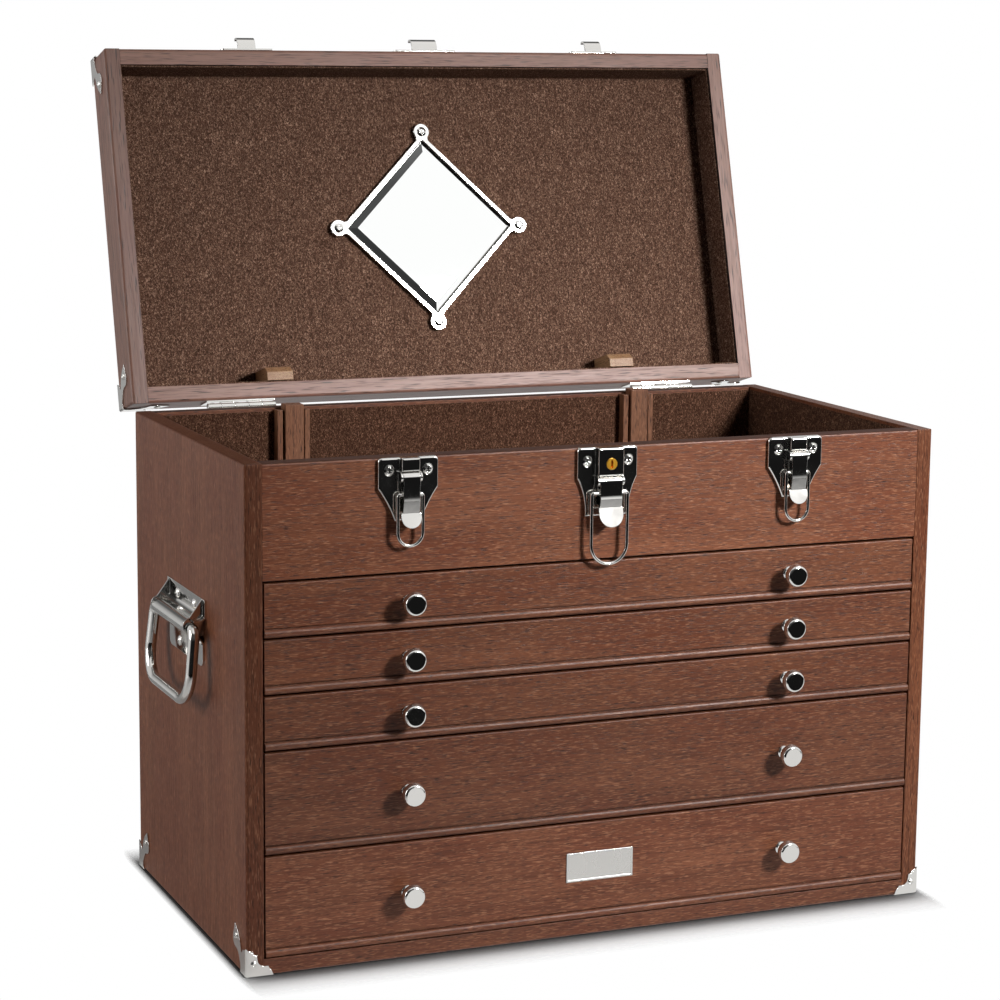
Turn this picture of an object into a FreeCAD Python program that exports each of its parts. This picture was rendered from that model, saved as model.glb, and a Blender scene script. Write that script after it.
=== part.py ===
import FreeCAD
import Part
import math
import os

# Machinist tool chest. Millimetres, X to the right, Y to the back, Z up.
# The origin is the middle of the case's underside. The lid is stored open.

# Case
caseWidth = 508.0
caseDepth = 264.0
board = 12.0            # side, front and back boards, and the lid's rails
edgeRound = 1.6         # eased outer edges
bottomBoard = 9.0
bottomRail = 11.0       # height of the rail under the lowest drawer
topPanel = 77.5         # height of the fixed front panel above the drawers
tillFloor = 5.0
lining = 1.2            # felt

# Drawers, from the top down
drawerPitches = [37.5, 37.5, 37.5, 70.0, 70.0]
drawerGap = 1.8         # between one front and the next
panelGap = 0.9          # more of it under the fixed front panel
frontClear = 1.1        # each side of a drawer front
beadHeight = 5.2
beadProud = 1.5
quirkWidth = 1.0
quirkDepth = 1.2
frontEase = 0.8
traySide = 9.0
trayBottom = 3.0
trayBottomUp = 2.5      # underside of the bottom sheet above the tray's lower edge
trayTopDown = 7.0       # tray's upper edge below the top of its front
trayClear = 1.0         # between tray and case side
backClear = 3.0         # behind a closed drawer
runnerHeight = 5.0
runnerBite = 4.5        # how far a runner stands into its groove
runnerFit = 0.2
runnerSetback = 4.0     # from the drawer front to the runner's end

# Knobs and the blank plate on the lowest drawer
knobX = 141.5
knobHead = 7.95
knobStem = 3.2
knobCollar = 4.6
knobCollarHigh = 1.4
knobNeck = 7.6          # where the head starts, from the drawer front
knobProud = 15.5
knobEase = 1.9          # rounded rim of the flat face
plateWidth = 50.0
plateHeight = 20.5
plateThick = 0.8
plateRim = 1.3
plateRimHigh = 0.25

# Lid
lidHeight = 36.0
lidPanel = 6.0
rimGap = 0.3            # between the closed lid and the case
lidRound = 2.2
lidOpen = 105.5         # degrees

# Drawer lock bars behind the drawers, pushed down by two blocks in the lid
barX = 140.0
barWidth = 14.0
barDepth = 11.0
barBackFit = 0.2
barSlit = 1.5           # between bar and guide
barFloorUp = 8.0        # lower end above the bottom board
barTravel = 3.0
guideWidth = 4.0
guideDepth = 9.0
guideTopDown = 1.0
slotClear = 0.6
blockWidth = 20.0
blockAhead = 0.4        # how far a block reaches past the front of its bar
blockChamferRun = 4.0
blockChamferRise = 5.0

# Mirror in the lid, a square standing on its corner; sizes are half diagonals
mirrorFlat = 59.0       # inside the glass's bevel
mirrorOpening = 67.8
mirrorGlass = 70.3
mirrorFrame = 73.2
mirrorThick = 2.6
mirrorEdge = 0.8        # thickness of the glass at its rim
mirrorFit = 0.2
frameThick = 3.8
frameEase = 0.5
lobeAt = 74.7
lobeRadius = 6.6
lobeBlend = 3.0         # where a lobe runs into the frame's sides

# Hinges
hingeX = 172.0
hingeLength = 52.0
hingeOffset = 4.8       # pin axis behind the back faces
knuckles = 5
knuckleRadius = 2.6
knuckleGap = 0.2
hingePin = 1.25
hingePinFit = 0.05
hingeLeaf = 1.2
leafHeight = 18.0
leafEdgeDown = 0.4
leafScrewDown = 12.0

# Draw latches: plate on the case, lever, wire bail, and a catch on the lid
outerLatch = {"plateHalf": 21.0, "shoulder": 20.5, "neckHalf": 9.5, "plateLong": 42.0, "bow": 0.9,
              "humpHalf": 6.4, "humpLong": 9.0, "humpHigh": 8.2,
              "screwX": 13.5, "screwDown": 8.4,
              "pivotDown": 12.6, "leverHalf": 5.8, "waistHalf": 5.6, "tabHalf": 7.0, "tabRound": 6.9,
              "leverLong": 33.4, "crease": 0.47, "facet": 0.707, "bailDown": 11.5,
              "bailHalf": 8.7, "bailLong": 34.1,
              "wire": 1.15, "catchHalf": 20.0, "hookHalf": 6.9, "catchScrewX": 15.5}
lockLatch = {"plateHalf": 22.2, "shoulder": 21.0, "neckHalf": 16.2, "plateLong": 47.0, "bow": 1.9,
             "humpHalf": 9.4, "humpLong": 19.2, "humpHigh": 9.2,
             "screwX": 15.2, "screwDown": 9.4,
             "pivotDown": 22.8, "leverHalf": 8.1, "waistHalf": 7.9, "tabHalf": 8.8, "tabRound": 8.7,
             "leverLong": 30.8, "crease": 0.394, "facet": 0.571, "bailDown": 8.0,
             "bailHalf": 13.2, "bailLong": 48.5,
             "wire": 1.25, "catchHalf": 25.0, "hookHalf": 10.3, "catchScrewX": 20.0}
latchX = 143.0
plateHigh = 3.0         # pressed plate, off the wood
plateCorner = 3.0
plateEdge = 1.4
humpEdge = 1.2
rollRadius = 3.2        # lever's rolled end around its pivot
pivotPin = 1.3
pivotFit = 0.05
pivotOut = 6.5          # pivot axis off the wood
cheekGap = 0.3          # between lever and cheek
cheekThick = 1.3
leverSheet = 1.3
leverHollow = 0.4       # how far the upper part dips towards the case
facetLean = 0.20        # slope of the facet, towards the case
tabLean = 0.25          # slope of the tab, away from it
flangeBack = 2.0        # how far the flanges reach behind the pivot
flangeDeep = 3.0        # their width at the facet's end
flangeBow = 0.6         # how far their hollow edge stops in front of the pivot
bailThrough = 0.3       # how far a bail's ends stand inside the flanges
bailBend = 1.7
catchThick = 1.2
catchHeight = 13.0
catchUp = 1.2           # above the lid's rim
hookSheet = 1.4
screwSink = 0.7         # recess for a screw head in a latch plate
lockPlug = 3.8
lockDown = 11.0
plugFit = 0.05
plugProud = 0.5
keyWidth = 1.4
keyHeight = 5.0
keyDepth = 3.0

# Side handles
mountHalf = 45.5        # half length of the folded mount
mountFootRound = 5.0
wallAbove = 7.0         # highest point of a mount's end walls above the barrel axis
mountSheet = 1.3
mountTop = 236.0
barrelDown = 19.5       # barrel axis below the mount's top edge
barrelOut = 9.2         # and off the wood
barrelHalf = 40.5       # half length of the barrel, the foot and the end walls
footDown = 47.0         # lower edge of the mount below its top edge
barrelWall = 1.5
handleBar = 3.9
handleFit = 0.06
handleInside = 22.0     # inner end of each pin from the middle
handleTopHalf = 48.5
handleBottomHalf = 52.0
handleDrop = 50.5
handleTopBend = 7.0
handleBottomBend = 21.0
handleTilt = 6.0        # degrees, the handle's rest off the vertical
flangeCurl = 3.0        # the flange starts to curl out this far above the barrel
footStart = 11.0        # the foot lies on the wood from here down, below the barrel axis
mountScrewY = 20.0
mountScrewDown = 7.2
footScrewY = 15.0
footScrewDown = 40.0

# Corner brackets
bracketThick = 1.0
bracketRound = 1.6      # outer corners
bracketFoot = 0.8       # lower edges of the case's brackets
bracketLong = 31.0      # from the corner to a leaf's tip; the outlines are shares of it
bracketScrewArms = (0.148, 0.268)
bracketScrewLeaf = (0.639, 0.729)

# Screw heads
bigHead = (3.6, 1.3)    # radius and height
smallHead = (2.5, 1.0)
headLand = 0.4
headTop = 0.55          # share of the radius left flat on top
recessWidth = 0.32      # share of the radius

# Worked out from the above
insideX = caseWidth / 2 - board
frontY = -caseDepth / 2
backY = caseDepth / 2
insideFrontY = frontY + board
insideBackY = backY - board
stackZ = bottomRail + sum(drawerPitches)
caseHeight = stackZ + topPanel
tillZ = stackZ + tillFloor
rimZ = caseHeight + rimGap
lidTopZ = rimZ + lidHeight
lidLiningZ = lidTopZ - lidPanel - lining
hingeAxis = FreeCAD.Vector(0, backY + hingeOffset, caseHeight + rimGap / 2)
barBack = insideBackY - barBackFit
barFront = barBack - barDepth
trayEnd = barFront - backClear
barrelZ = mountTop - barrelDown
bracketReach = bracketLong * 1.3    # the corner that a bracket is cut from
barrelRadius = handleBar + handleFit + barrelWall

# Points closer than this count as one
sameSpot = 0.001


def vec(x, y, z):
    return FreeCAD.Vector(x, y, z)


def block(x0, x1, y0, y1, z0, z1):
    low = vec(min(x0, x1), min(y0, y1), min(z0, z1))
    return Part.makeBox(abs(x1 - x0), abs(y1 - y0), abs(z1 - z0), low)


def rod(start, end, radius):
    return Part.makeCylinder(radius, (end - start).Length, start, end - start)


def fused(shapes):
    return shapes[0].multiFuse(shapes[1:]).removeSplitter()


def edgesAt(shape, axis, value):
    # The edges that lie wholly in the plane where the axis has this value.
    return [edge for edge in shape.Edges if endsAt(edge, axis, value)
            and abs(getattr(edge.CenterOfMass, axis) - value) < sameSpot]


def endsAt(edge, axis, value):
    return all(abs(getattr(point.Point, axis) - value) < sameSpot for point in edge.Vertexes)


def rowEdges(shape, y, z):
    # The long edges along X at one Y and Z.
    return [edge for edge in edgesAt(shape, "y", y) if endsAt(edge, "z", z)]


def eased(shape, radius, planes):
    # Rounds the edges in each of the (axis, value) planes.
    edges = []
    for axis, value in planes:
        edges += [edge for edge in edgesAt(shape, axis, value)
                  if not any(edge.isSame(other) for other in edges)]
    return shape.makeFillet(radius, edges)


def outline(path, place):
    # A closed face. The path holds points, and (through, end) pairs where it is an arc.
    edges = []
    here = path[0]
    for step in path[1:] + [path[0]]:
        if isinstance(step[0], tuple):
            through, there = step
            edges.append(Part.Arc(place(*here), place(*through), place(*there)).toShape())
        else:
            there = step
            edges.append(Part.LineSegment(place(*here), place(*there)).toShape())
        here = there
    return Part.Face(Part.Wire(edges))


def bothSides(half):
    # A closed path from its right half, which runs from one end to the other.
    ends = [step[1] if isinstance(step[0], tuple) else step for step in half]
    path = list(half)
    if ends[-1][0] != 0:
        path.append((-ends[-1][0], ends[-1][1]))
    for step, before in zip(half[:0:-1], ends[-2::-1]):
        there = (-before[0], before[1])
        if isinstance(step[0], tuple):
            path.append(((-step[0][0], step[0][1]), there))
        else:
            path.append(there)
    return path


def ribbon(points, thickness, place):
    # A bent sheet seen edge on, thickened to both sides of a smooth line.
    sides = [[], []]
    for index, (a, b) in enumerate(points):
        before = points[max(index - 1, 0)]
        after = points[min(index + 1, len(points) - 1)]
        length = math.hypot(after[0] - before[0], after[1] - before[1])
        across = ((before[1] - after[1]) / length, (after[0] - before[0]) / length)
        for side, sign in zip(sides, (0.5, -0.5)):
            side.append(place(a + sign * thickness * across[0], b + sign * thickness * across[1]))
    upper, lower = sides
    lower.reverse()
    edges = []
    for run, following in ((upper, lower), (lower, upper)):
        curve = Part.BSplineCurve()
        curve.interpolate(run)
        edges.append(curve.toShape())
        edges.append(Part.LineSegment(run[-1], following[0]).toShape())
    return Part.Face(Part.Wire(edges))


def sCurve(start, end):
    # Two equal arcs that leave and arrive along the second coordinate.
    across = (end[0] - start[0]) / 2
    along = (end[1] - start[1]) / 2
    radius = (across ** 2 + along ** 2) / (2 * abs(across))
    half = math.asin(abs(along) / radius) / 2
    stepAcross = math.copysign(radius * (1 - math.cos(half)), across)
    stepAlong = math.copysign(radius * math.sin(half), along)
    middle = (start[0] + across, start[1] + along)
    return [((start[0] + stepAcross, start[1] + stepAlong), middle),
            ((end[0] - stepAcross, end[1] - stepAlong), end)]


def bentRod(points, bends, radius):
    # A round bar along straight runs joined by tangent arcs.
    edges = []
    here = points[0]
    for before, corner, after, bend in zip(points, points[1:], points[2:], bends):
        toBefore = (before - corner).normalize()
        toAfter = (after - corner).normalize()
        half = toBefore.getAngle(toAfter) / 2
        bisector = (toBefore + toAfter).normalize()
        arcStart = corner + toBefore * (bend / math.tan(half))
        arcEnd = corner + toAfter * (bend / math.tan(half))
        middle = corner + bisector * (bend / math.sin(half) - bend)
        if (arcStart - here).Length > sameSpot:
            edges.append(Part.LineSegment(here, arcStart).toShape())
        edges.append(Part.Arc(arcStart, middle, arcEnd).toShape())
        here = arcEnd
    edges.append(Part.LineSegment(here, points[-1]).toShape())
    section = Part.Wire([Part.makeCircle(radius, points[0], points[1] - points[0])])
    return Part.Wire(edges).makePipeShell([section], True, True)


def screwHead(at, out, size):
    # A low pan head with a cross recess, seated at a point and facing out.
    radius, height = size
    land = Part.makeCylinder(radius, headLand)
    crown = Part.makeCone(radius, radius * headTop, height - headLand, vec(0, 0, headLand))
    half = radius * recessWidth / 2
    long = radius * headTop
    floor = height - headLand
    cross = fused([block(-long, long, -half, half, floor, height),
                   block(-half, half, -long, long, floor, height)])
    head = fused([land, crown]).cut(cross)
    head.Placement = FreeCAD.Placement(at, FreeCAD.Rotation(vec(0, 0, 1), out))
    return head


def opened(shape):
    # Turns a piece of the closed lid to the open position.
    turned = shape.copy()
    turned.rotate(hingeAxis, vec(1, 0, 0), -lidOpen)
    return turned


# Case boards

def makeSide(side):
    plank = block(side * insideX, side * caseWidth / 2, frontY, backY, 0, caseHeight)
    return eased(plank, edgeRound, [("x", side * caseWidth / 2)])


def makeBackPanel():
    panel = block(-insideX, insideX, insideBackY, backY, 0, caseHeight)
    return panel.makeFillet(edgeRound, rowEdges(panel, backY, caseHeight))


def makeFrontPanel():
    panel = block(-insideX, insideX, frontY, insideFrontY, stackZ + panelGap, caseHeight)
    return panel.makeFillet(edgeRound, rowEdges(panel, frontY, caseHeight))


def makeBottomRail():
    rail = block(-insideX, insideX, frontY, insideFrontY, 0, bottomRail)
    return rail.makeFillet(edgeRound, rowEdges(rail, frontY, 0))


def makeBottomPanel():
    return block(-insideX, insideX, insideFrontY, insideBackY, 0, bottomBoard)


def makeTillFloor():
    floor = block(-insideX, insideX, insideFrontY, insideBackY, stackZ, tillZ)
    for side in (-1, 1):
        floor = floor.cut(barSlot(side, stackZ, tillZ))
    return floor


def barSlot(side, low, high):
    half = barWidth / 2 + slotClear
    middle = side * barX
    return block(middle - half, middle + half, barFront - slotClear, insideBackY, low, high)


def drawerBases():
    # The lower edge of each drawer's space, from the top down.
    return [stackZ - sum(drawerPitches[:count + 1]) for count in range(len(drawerPitches))]


def trayHeights(base, pitch):
    low = base + drawerGap / 2 + trayBottomUp
    return low, base + pitch - drawerGap / 2 - trayTopDown


def runnerLow(base, pitch):
    low, high = trayHeights(base, pitch)
    return (low + high) / 2 - runnerHeight / 2


def makeRunners():
    strips = []
    for base, pitch in zip(drawerBases(), drawerPitches):
        low = runnerLow(base, pitch)
        for side in (-1, 1):
            strips.append(block(side * insideX, side * (insideX - trayClear - runnerBite),
                                insideFrontY + runnerSetback, trayEnd, low, low + runnerHeight))
    return Part.makeCompound(strips)


# Till lining, lock bars and their guides

def guideSpan(side, outward):
    # One guide strip beside a bar, from the slit to its far face.
    near = side * barX + outward * (barWidth / 2 + barSlit)
    return near, near + outward * guideWidth


def makeBarGuides():
    strips = []
    for side in (-1, 1):
        for outward in (-1, 1):
            near, far = guideSpan(side, outward)
            strips.append(block(near, far, insideBackY - guideDepth, insideBackY,
                                tillZ, caseHeight - guideTopDown))
    return Part.makeCompound(strips)


def makeTillLining():
    lip = caseHeight - 2 * lining
    liner = block(-insideX, insideX, insideFrontY, insideBackY, tillZ, lip)
    hollow = block(-insideX + lining, insideX - lining, insideFrontY + lining,
                   insideBackY - lining, tillZ + lining, lip)
    liner = liner.cut(hollow)
    for side in (-1, 1):
        left = guideSpan(side, -1)[1]
        right = guideSpan(side, 1)[1]
        liner = liner.cut(block(left, right, barFront - slotClear, insideBackY, tillZ, lip))
    return liner


def makeLockBars():
    bars = []
    for side in (-1, 1):
        middle = side * barX
        bars.append(block(middle - barWidth / 2, middle + barWidth / 2, barFront, barBack,
                          bottomBoard + barFloorUp, caseHeight + barTravel))
    return Part.makeCompound(bars)


# Drawers

def makeDrawerFront(base, pitch):
    # Section across the front: bead at the foot, quirk above it, flat face, eased top.
    low = base + drawerGap / 2
    high = base + pitch - drawerGap / 2
    quirkLow = low + beadHeight
    quirkHigh = quirkLow + quirkWidth
    section = [(insideFrontY, low),
               (frontY, low),
               ((frontY - beadProud, low + beadHeight / 2), (frontY, quirkLow)),
               (frontY + quirkDepth, quirkLow),
               (frontY + quirkDepth, quirkHigh),
               (frontY, quirkHigh),
               (frontY, high - frontEase),
               ((frontY + frontEase * 0.29, high - frontEase * 0.29), (frontY + frontEase, high)),
               (insideFrontY, high)]
    left = -insideX + frontClear
    face = outline(section, lambda y, z: vec(left, y, z))
    return face.extrude(vec(2 * (insideX - frontClear), 0, 0))


def makeTray(base, pitch):
    low, high = trayHeights(base, pitch)
    half = insideX - trayClear
    tray = block(-half, half, insideFrontY, trayEnd, low, high)
    inner = half - traySide
    inside = block(-inner, inner, insideFrontY, trayEnd - traySide, low + trayBottom, high)
    tray = tray.cut(inside)
    grooveLow = runnerLow(base, pitch) - runnerFit
    grooveHigh = grooveLow + runnerHeight + 2 * runnerFit
    for side in (-1, 1):
        deep = half - runnerBite - runnerFit
        tray = tray.cut(block(side * deep, side * half, insideFrontY, trayEnd,
                              grooveLow, grooveHigh))
    return tray


def makeKnobs(base, pitch):
    # Half section turned about its axis: collar, stem, then the flat-faced head.
    section = [(0, 0), (knobCollar, 0), (knobCollar, knobCollarHigh),
               ((knobStem + 0.3, knobCollarHigh + 1.0), (knobStem, knobNeck - 2)),
               ((knobStem + 1.2, knobNeck - 0.3), (knobHead - 1.2, knobNeck + 1.2)),
               ((knobHead, knobNeck + 2.8), (knobHead - 0.3, knobProud - knobEase)),
               ((knobHead - knobEase / 2, knobProud - knobEase / 4), (knobHead - knobEase, knobProud)),
               (0, knobProud)]
    middleZ = base + pitch / 2
    knobs = []
    for side in (-1, 1):
        face = outline(section, lambda r, out: vec(side * knobX + r, frontY - out, middleZ))
        knobs.append(face.revolve(vec(side * knobX, frontY, middleZ), vec(0, 1, 0), 360))
    return Part.makeCompound(knobs)


def makeNamePlate(base, pitch):
    # A blank plate with a raised rim, in the middle of the flat above the bead.
    low = base + drawerGap / 2 + beadHeight + quirkWidth
    middle = (low + base + pitch - drawerGap / 2) / 2
    halfX = plateWidth / 2
    halfZ = plateHeight / 2
    face = frontY - plateThick
    plate = block(-halfX, halfX, face, frontY, middle - halfZ, middle + halfZ)
    field = block(-halfX + plateRim, halfX - plateRim, face, face + plateRimHigh,
                  middle - halfZ + plateRim, middle + halfZ - plateRim)
    return plate.cut(field)


# Lid, drawn closed and then turned open

def makeLidSide(side):
    rail = block(side * insideX, side * caseWidth / 2, frontY, backY, rimZ, lidTopZ)
    rail = eased(rail, lidRound, [("x", side * caseWidth / 2)])
    return opened(rail)


def makeLidRail(outerY, innerY):
    rail = block(-insideX, insideX, outerY, innerY, rimZ, lidTopZ)
    edges = rowEdges(rail, outerY, lidTopZ) + rowEdges(rail, outerY, rimZ)
    return opened(rail.makeFillet(lidRound, edges))


def makeLidPanel():
    panel = block(-insideX, insideX, insideFrontY, insideBackY, lidTopZ - lidPanel, lidTopZ)
    return opened(panel)


def makeLidLining():
    low = rimZ + 2 * lining
    high = lidTopZ - lidPanel
    liner = block(-insideX, insideX, insideFrontY, insideBackY, low, high)
    hollow = block(-insideX + lining, insideX - lining, insideFrontY + lining,
                   insideBackY - lining, low, lidLiningZ)
    return opened(liner.cut(hollow))


def makeLidBlocks():
    # Section across a block: it stands against the back of the lining, with a flat foot
    # over its bar and a chamfer along the front.
    back = insideBackY - lining
    front = barFront - blockAhead
    section = [(front + blockChamferRun, rimZ), (back, rimZ), (back, lidLiningZ),
               (front, lidLiningZ), (front, rimZ + blockChamferRise)]
    blocks = []
    for side in (-1, 1):
        left = side * barX - blockWidth / 2
        face = outline(section, lambda y, z: vec(left, y, z))
        blocks.append(opened(face.extrude(vec(blockWidth, 0, 0))))
    return Part.makeCompound(blocks)


def diamond(half, low, high):
    corners = [(half, 0), (0, half), (-half, 0), (0, -half)]
    face = outline(corners, lambda x, y: vec(x, y, low))
    return face.extrude(vec(0, 0, high - low))


def lobePlaces():
    return [(lobeAt, 0), (0, lobeAt), (-lobeAt, 0), (0, -lobeAt)]


def makeMirrorFrame():
    low = lidLiningZ - frameThick
    frame = diamond(mirrorFrame, low, lidLiningZ)
    for x, y in lobePlaces():
        frame = frame.fuse(Part.makeCylinder(lobeRadius, frameThick, vec(x, y, low)))
    frame = frame.removeSplitter()
    frame = frame.makeFillet(lobeBlend, [edge for edge in frame.Edges
                                         if edge.BoundBox.ZLength > frameThick / 2
                                         and len(edge.Vertexes) == 2])
    frame = frame.cut(diamond(mirrorOpening, low, lidLiningZ))
    frame = frame.makeChamfer(frameEase, edgesAt(frame, "z", low))
    pocket = diamond(mirrorGlass + mirrorFit, lidLiningZ - mirrorThick - mirrorFit / 2, lidLiningZ)
    return opened(frame.cut(pocket))


def makeMirror():
    # Plate glass with a wide bevel round its face.
    rims = []
    for half, z in ((mirrorFlat, lidLiningZ - mirrorThick), (mirrorGlass, lidLiningZ - mirrorEdge),
                    (mirrorGlass, lidLiningZ)):
        corners = [(half, 0), (0, half), (-half, 0), (0, -half)]
        rims.append(outline(corners, lambda x, y: vec(x, y, z)).OuterWire)
    return opened(Part.makeLoft(rims, True, True))


# Hinges

def leafSection(side):
    # Across the leaf from its outer edge up to the roll; side is +1 for the lid's leaf.
    far = side * leafHeight
    return [(0, far), (hingeLeaf, far), (hingeLeaf, side * knuckleRadius * 1.6),
            (hingeOffset, side * knuckleRadius), (hingeOffset - 1, side * leafEdgeDown * 2),
            (0, side * leafEdgeDown * 2)]


def makeHingeLeaves(side, turns):
    # One leaf per hinge: the flat plate, and its share of the knuckles.
    leaves = []
    pitch = hingeLength / knuckles
    axisZ = hingeAxis.z
    for hand in (-1, 1):
        start = hand * hingeX - hingeLength / 2
        pieces = [block(start, start + hingeLength, backY, backY + hingeLeaf,
                        axisZ + side * leafEdgeDown, axisZ + side * leafHeight)]
        for turn in turns:
            low = start + turn * pitch + knuckleGap / 2
            high = low + pitch - knuckleGap
            neck = outline(leafSection(side), lambda y, z: vec(low, backY + y, axisZ + z))
            pieces.append(neck.extrude(vec(high - low, 0, 0)))
            pieces.append(rod(vec(low, hingeAxis.y, axisZ), vec(high, hingeAxis.y, axisZ),
                              knuckleRadius))
        bore = hingePin + (hingePinFit if side > 0 else 0)
        hole = rod(vec(start, hingeAxis.y, axisZ),
                   vec(start + hingeLength, hingeAxis.y, axisZ), bore)
        leaves.append(fused(pieces).cut(hole))
    return Part.makeCompound(leaves)


def makeHingePins():
    pins = []
    for hand in (-1, 1):
        start = vec(hand * hingeX - hingeLength / 2, hingeAxis.y, hingeAxis.z)
        pins.append(rod(start, start + vec(hingeLength, 0, 0), hingePin))
    return Part.makeCompound(pins)


def hingeScrewPlaces(side):
    places = []
    for hand in (-1, 1):
        for step in (-1, 0, 1):
            places.append(vec(hand * hingeX + step * hingeLength * 0.36, backY + hingeLeaf,
                              hingeAxis.z + side * leafScrewDown))
    return places


# Draw latches. Across is along X from the latch's middle, out is off the case's front,
# and down is from the case's top edge.

def latchPoint(middle, across, out, down):
    return vec(middle + across, frontY - out, caseHeight - down)


def makeLatchPlate(latch, middle):
    # Pressed plate: shoulders at the top, sides bowing in to a narrower foot.
    half, neck, corner = latch["plateHalf"], latch["neckHalf"], plateCorner
    foot, shoulder = latch["plateLong"], latch["shoulder"]
    cut = corner * (1 - math.sqrt(0.5))
    waist = ((half + neck) / 2 - latch["bow"], (shoulder + foot) / 2)
    path = [(half - corner, 0), ((half - cut, cut), (half, corner)), (half, shoulder),
            (waist, (neck, foot))]
    face = outline(bothSides(path), lambda across, down: latchPoint(middle, across, 0, down))
    plate = face.extrude(vec(0, -plateHigh, 0))
    plate = plate.makeFillet(plateEdge, edgesAt(plate, "y", frontY - plateHigh))
    hump = block(middle - latch["humpHalf"], middle + latch["humpHalf"], frontY,
                 frontY - latch["humpHigh"], caseHeight, caseHeight - latch["humpLong"])
    hump = hump.makeFillet(humpEdge, edgesAt(hump, "y", frontY - latch["humpHigh"]))
    pieces = [plate, hump]
    reach = latch["leverHalf"] + cheekGap + cheekThick
    pivot = latch["pivotDown"]
    for side in (-1, 1):
        inner = side * (latch["leverHalf"] + cheekGap)
        near = latchPoint(middle, inner, pivotOut, pivot)
        far = latchPoint(middle, side * reach, pivotOut, pivot)
        pieces.append(rod(near, far, rollRadius))
        pieces.append(block(near.x, far.x, frontY, frontY - pivotOut,
                            caseHeight - pivot + rollRadius, caseHeight - pivot - rollRadius))
    pieces.append(rod(latchPoint(middle, -reach, pivotOut, pivot),
                      latchPoint(middle, reach, pivotOut, pivot), pivotPin))
    body = fused(pieces)
    for side in (-1, 1):
        at = latchPoint(middle, side * latch["screwX"], plateHigh - screwSink, latch["screwDown"])
        body = body.cut(Part.makeCylinder(bigHead[0], screwSink, at, vec(0, -1, 0)))
    return body


def makeLockPlate():
    body = makeLatchPlate(lockLatch, 0)
    seat = latchPoint(0, 0, plateHigh, lockDown)
    mouth = latchPoint(0, 0, lockLatch["humpHigh"], lockDown)
    return body.cut(rod(seat, mouth, lockPlug + plugFit))


def makeLockPlug():
    seat = latchPoint(0, 0, plateHigh, lockDown)
    front = latchPoint(0, 0, lockLatch["humpHigh"] + plugProud, lockDown)
    plug = rod(seat, front, lockPlug)
    keyway = block(-keyWidth / 2, keyWidth / 2, front.y, front.y + keyDepth,
                   front.z - keyHeight / 2, front.z + keyHeight / 2)
    return plug.cut(keyway)


def makeLever(latch, middle):
    # Bent sheet rolled round its pivot: a hollow upper part, a flat facet leaning in, and
    # a wider round tab leaning out. A flange down each side carries the bail.
    pivot = latch["pivotDown"]
    end = pivot + latch["leverLong"]
    face = pivotOut + rollRadius
    reach = latch["tabHalf"] + 1
    straight = pivot + rollRadius
    crease = pivot + latch["crease"] * latch["leverLong"]
    shoulder = pivot + latch["facet"] * latch["leverLong"]
    hollow = (straight + crease) / 2
    facetOut = face - facetLean * (shoulder - crease)
    tabOut = facetOut + tabLean * (end - shoulder)
    behind = face - leverSheet
    side = [(face, pivot), (face, straight), ((face - leverHollow, hollow), (face, crease)),
            (facetOut, shoulder), (tabOut, end), (tabOut - leverSheet, end),
            (facetOut - leverSheet, shoulder), (behind, crease),
            ((behind - leverHollow, hollow), (behind, straight)), (behind, pivot)]

    def place(across):
        return lambda out, down: latchPoint(middle, across, out, down)

    sheet = outline(side, place(-reach)).extrude(vec(2 * reach, 0, 0))
    half, waist, tab = latch["leverHalf"], latch["waistHalf"], latch["tabHalf"]
    plan = [(half, pivot), (half, straight)]
    plan += sCurve((half, straight), (waist, crease))
    bend = latch["tabRound"]
    cut = bend * (1 - math.sqrt(0.5))
    step = (tab - waist) / 2
    plan += [(waist, shoulder - step), (tab, shoulder + step), (tab, end - bend)]
    plan += [((tab - cut, end - cut), (tab - bend, end))]
    cutter = outline(bothSides(plan), lambda across, down: latchPoint(middle, across, 0, down))
    sheet = sheet.common(cutter.extrude(vec(0, -3 * pivotOut, 0)))
    roll = rod(latchPoint(middle, -half, pivotOut, pivot),
               latchPoint(middle, half, pivotOut, pivot), rollRadius)
    pieces = [sheet, roll]
    bail = pivot + latch["bailDown"]
    back = pivotOut - flangeBack
    inSheet = leverSheet / 2
    flange = [(face - inSheet, pivot), (face - inSheet, crease), (facetOut - inSheet, shoulder),
              (facetOut - flangeDeep, shoulder),
              ((pivotOut + flangeBow, (bail + shoulder) / 2), (back, bail)), (back, pivot)]
    for inner in (-waist, waist - leverSheet):
        pieces.append(outline(flange, place(inner)).extrude(vec(leverSheet, 0, 0)))
    lever = fused(pieces)
    for down, radius in ((pivot, pivotPin + pivotFit), (bail, latch["wire"] + pivotFit)):
        lever = lever.cut(rod(latchPoint(middle, -reach, pivotOut, down),
                              latchPoint(middle, reach, pivotOut, down), radius))
    return lever


def makeBail(latch, middle):
    # Wire loop: each end turns in through a lever flange.
    top = latch["pivotDown"] + latch["bailDown"]
    bottom = top + latch["bailLong"]
    half = latch["bailHalf"]
    inner = latch["waistHalf"] - leverSheet - bailThrough
    turns = [(-inner, top), (-half, top), (-half, bottom), (half, bottom),
             (half, top), (inner, top)]
    points = [latchPoint(middle, across, pivotOut, down) for across, down in turns]
    return bentRod(points, [bailBend, half, half, bailBend], latch["wire"])


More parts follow.
